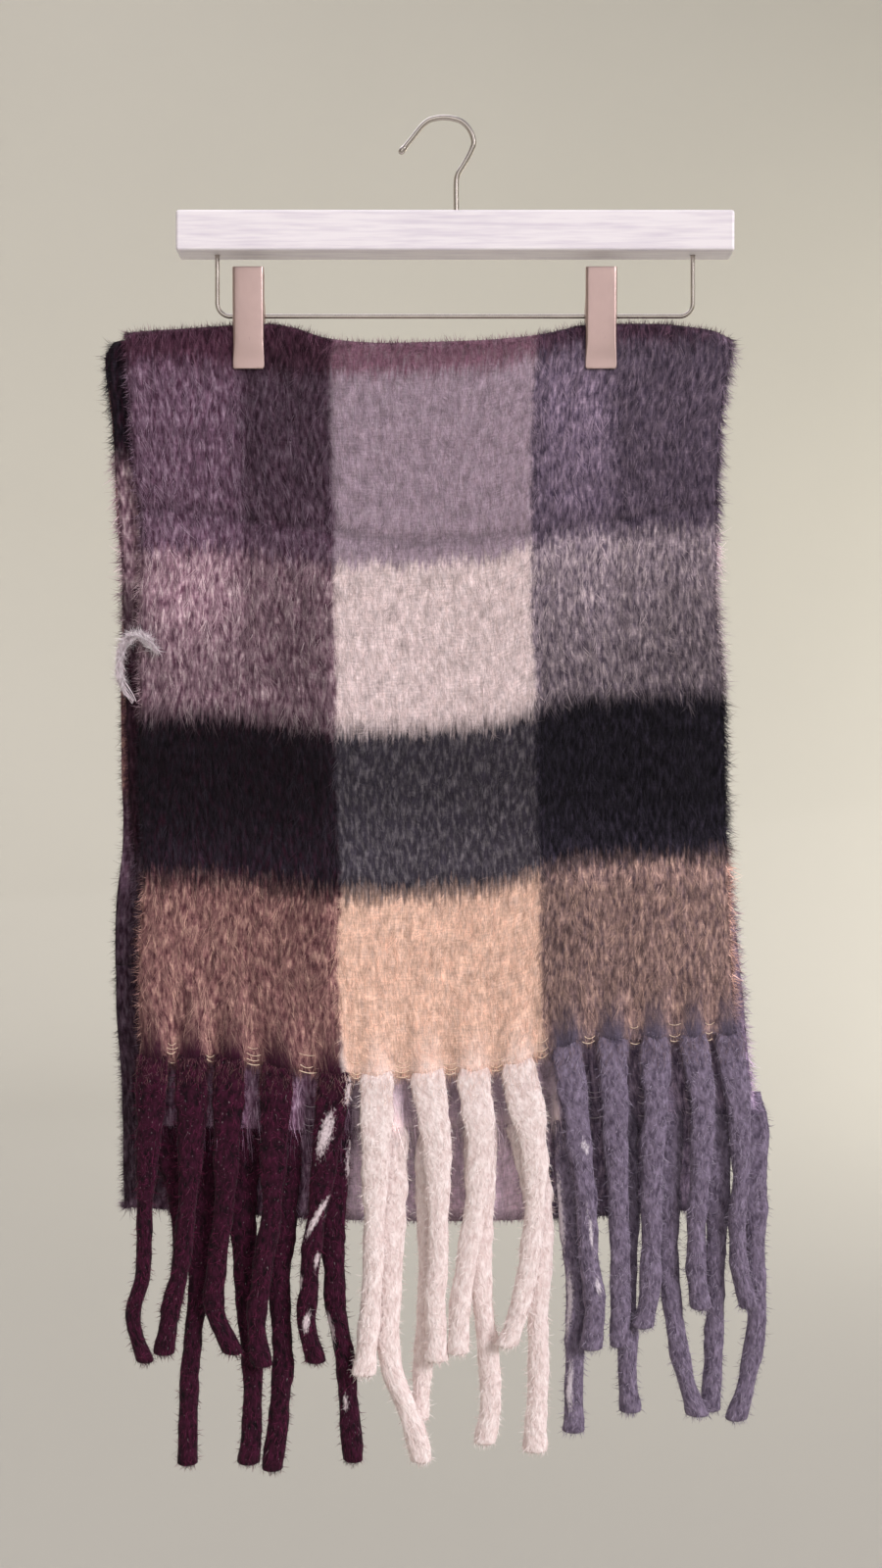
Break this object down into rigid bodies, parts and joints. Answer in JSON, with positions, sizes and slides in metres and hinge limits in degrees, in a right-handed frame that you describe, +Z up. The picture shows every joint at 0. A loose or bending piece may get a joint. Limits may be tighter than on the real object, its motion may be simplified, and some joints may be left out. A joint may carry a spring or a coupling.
{
  "type": "blanket scarf on a clip hanger",
  "caption": "Wide brushed check scarf with a twisted fringe, folded twice and held by the clips of a wooden trouser hanger.",
  "frame": {"origin": "inside of the hook's crown, where the hanger hangs on a rail or a peg", "axes": "+X to the right as seen from the front, +Z up, the front of the scarf faces -Y"},
  "size_m": [0.4384, 0.0313, 0.8954],
  "materials": {
    "brushed_cloth": "brushed, hairy wool and acrylic check in plum, cream, slate, black, camel and lilac",
    "plum_fringe": "felted twisted yarn",
    "cream_fringe": "felted twisted yarn",
    "slate_fringe": "felted twisted yarn",
    "painted_wood": "white open-grain paint",
    "nickel_wire": "satin nickel plate",
    "nickel_clip": "brushed nickel plate"
  },
  "bodies": {
    "root": {"scarf_outer_leaf": "brushed_cloth", "scarf_inner_leaf": "brushed_cloth", "fringe_front_plum": "plum_fringe", "fringe_front_cream": "cream_fringe", "fringe_front_slate": "slate_fringe", "fringe_rear_plum": "plum_fringe", "fringe_rear_cream": "cream_fringe", "fringe_rear_slate": "slate_fringe", "hanger_bar": "painted_wood", "hanger_hook": "nickel_wire", "hanger_rail": "nickel_wire", "clip_left_front": "nickel_clip", "clip_left_back": "nickel_clip", "clip_right_front": "nickel_clip", "clip_right_back": "nickel_clip", "clip_left_spring": "nickel_wire", "clip_right_spring": "nickel_wire"}
  },
  "joints": []
}
